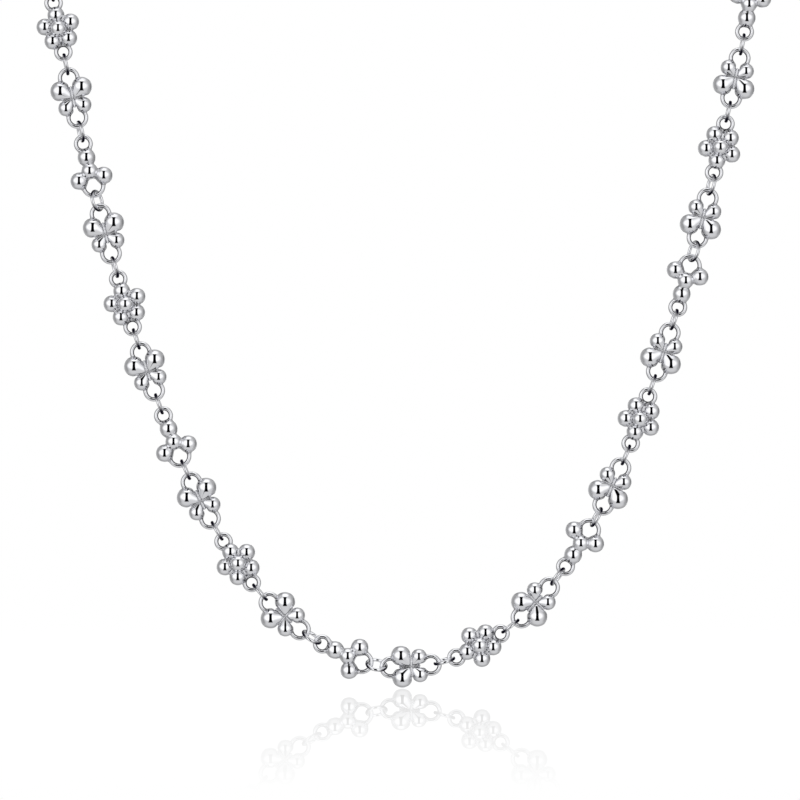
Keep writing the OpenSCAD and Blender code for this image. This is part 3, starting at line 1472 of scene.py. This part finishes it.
@dataclass(frozen=True)
class Studio:
    """White light tent, pale glossy floor, and a camera straight in front of the necklace.

    A ring of the tent's walls is given by where it starts on a ball, how soft its edge is, and its light.
    """

    aim_x: float = 1.385
    aim_z: float = -121.796
    view_width: float = 133.33
    lens: float = 200.0
    sensor: float = 36.0
    near_clip: float = 10.0
    far_clip: float = 10000.0
    lamp_strength: float = 1.0
    seen_light: float = 1.0
    wall_light: float = 0.46
    wall_rings: tuple[tuple[float, float, float], ...] = (
        (0.62, 0.08, 0.30),
        (0.80, 0.08, 0.375),
        (0.93, 0.05, 0.42),
    )
    back_gap_x: float = 0.15
    floor_gap: float = 0.05
    floor_size: float = 1200.0
    gloss: float = 0.32
    gloss_rough: float = 0.0
    gloss_end: float = 195.0
    least_spread: float = 1e-6
    shade: Colour = (0.001, 0.001, 0.0015, 1.0)
    white: Colour = (1.0, 1.0, 1.0, 1.0)

    def camera(self) -> None:
        """Sets up the camera, level and square to the necklace's plane."""
        data = bpy.data.cameras.new("front_camera")
        data.lens = self.lens
        data.sensor_width = self.sensor
        data.clip_start = self.near_clip * MM
        data.clip_end = self.far_clip * MM
        camera = linked("front_camera", data)
        away = self.view_width * self.lens / self.sensor
        camera.location = Vector((self.aim_x, -away, self.aim_z)) * MM
        camera.rotation_euler = (QUARTER_TURN, 0, 0)
        bpy.context.scene.camera = camera

    def tent(self) -> None:
        """Lights the necklace from a tent with a dark slit that the camera looks through."""
        world = bpy.data.worlds.new("light_tent")
        bpy.context.scene.world = world
        graph = Graph(world)
        x, y, z = graph.split(graph.place("Generated"))
        across, up = self.on_ball(x, z, 2 - 2 * y)
        light = self.walls(across.diagonal(up))
        for patch in self.front():
            light = patch.over(light, across, up)
        across, up = self.on_ball(x, z, 2 + 2 * y)
        for patch in self.back():
            light = patch.over(light, across, up)
        seen = graph.term(graph.node("ShaderNodeLightPath", {}, {}), "Is Camera Ray")
        colour = graph.blend(light.towards(self.seen_light, seen), self.shade, self.white)
        shown = {"Color": colour, "Strength": self.lamp_strength}
        background = graph.node("ShaderNodeBackground", {}, shown)
        graph.node("ShaderNodeOutputWorld", {}, {"Surface": background.outputs["Background"]})

    def on_ball(self, x: Term, z: Term, spread: Term) -> tuple[Term, Term]:
        """Finds where a polished ball shows a direction.

        Args:
            x: The direction's part across.
            z: Its part upwards.
            spread: Square of the length of the direction and the way to the viewer together.

        Returns:
            The place across and up the ball, in shares of its radius.
        """
        length = spread.most(self.least_spread) ** ROOT
        return x / length, z / length

    def walls(self, radius: Term) -> Term:
        """Brightness of the tent's walls.

        Args:
            radius: How far out a polished ball shows them, in shares of its radius.

        Returns:
            The brightness.
        """
        light = radius * 0 + self.wall_light
        for edge, soft, value in self.wall_rings:
            light = light.towards(value, radius.past(edge, soft))
        return light

    def front(self) -> list[Patch]:
        """Places the tent's parts on the camera's side, as a ball shows them from in front.

        Returns:
            The parts, from the farthest to the nearest.
        """
        return [
            Cloth(x=0.02, y=-0.525, half_x=0.55, half_y=0.245, light=0.56, soft=0.3),
            Cloth(x=0.05, y=0.06, half_x=0.61, half_y=0.78, light=0.64, soft=0.3),
            Cloth(x=0.90, y=0.20, half_x=0.09, half_y=0.60, light=0.20, soft=0.5),
            Cloth(x=-0.39, y=0.85, half_x=0.12, half_y=0.25, light=0.30, soft=0.6),
            Cloth(x=-0.04, y=0.09, half_x=0.55, half_y=0.31, light=1.2, soft=0.35),
            Cloth(x=0.01, y=0.66, half_x=0.30, half_y=0.147, light=1.2, soft=0.45),
            Slit(low=-0.39, high=0.51, waist=0.135, flare=0.065, taper=0.02),
        ]

    def back(self) -> list[Patch]:
        """Places the tent's parts behind the necklace, as a ball shows them from behind.

        Returns:
            The parts, from the farthest to the nearest.
        """
        gap = {"low": -0.24, "high": 0.26, "waist": 0.035, "flare": 0.02, "light": 0.05, "soft": 0.01}
        lit = Cloth(x=0.0, y=0.0, half_x=0.27, half_y=0.22, light=1.1, soft=0.35)
        return [lit, Slit(x=self.back_gap_x, **gap), Slit(x=-self.back_gap_x, **gap)]

    def floor(self) -> None:
        """Lays the floor just under the lowest petal."""
        place = Matrix.Translation((0, 0, CAD_BOX[0].z - self.floor_gap * MM))
        half = self.floor_size / 2 * MM
        bm = bmesh.new()
        bmesh.ops.create_grid(bm, x_segments=1, y_segments=1, size=half, matrix=place)
        mesh = mesh_of(bm, "floor")
        mesh.materials.append(self.floor_finish())
        floor = linked("floor", mesh)
        floor.visible_glossy = False

    def floor_finish(self) -> bpy.types.Material:
        """White acrylic lit from below, whose gloss shows close to the necklace and fades in front.

        Returns:
            The material.
        """
        material = bpy.data.materials.new("white_acrylic")
        graph = Graph(material)
        away = graph.split(graph.place("Object"))[1].size() / (self.gloss_end * MM)
        share = self.gloss * (1 - away).most(0)
        lit = graph.node("ShaderNodeEmission", {}, {"Color": self.white, "Strength": self.lamp_strength})
        gloss = graph.node("ShaderNodeBsdfGlossy", {}, {"Color": self.white, "Roughness": self.gloss_rough})
        mixed = graph.node("ShaderNodeMixShader", {}, {0: share, 1: lit.outputs[0], 2: gloss.outputs[0]})
        graph.node("ShaderNodeOutputMaterial", {}, {"Surface": mixed.outputs[0]})
        return material

    def build(self) -> None:
        """Sets up the camera, the light and the floor."""
        self.camera()
        self.tent()
        self.floor()
        bpy.context.scene.view_settings.view_transform = "Standard"


def main() -> None:
    """Builds the studio, the links, the clasp and the jump rings."""
    logging.basicConfig(level=logging.INFO, format="%(message)s")
    Studio().build()
    string = String()
    string.build(Silver("cast_silver_polished").material())
    JumpRings(string).build(Silver("wire_silver_polished").material())


if __name__ == "__main__":
    main()
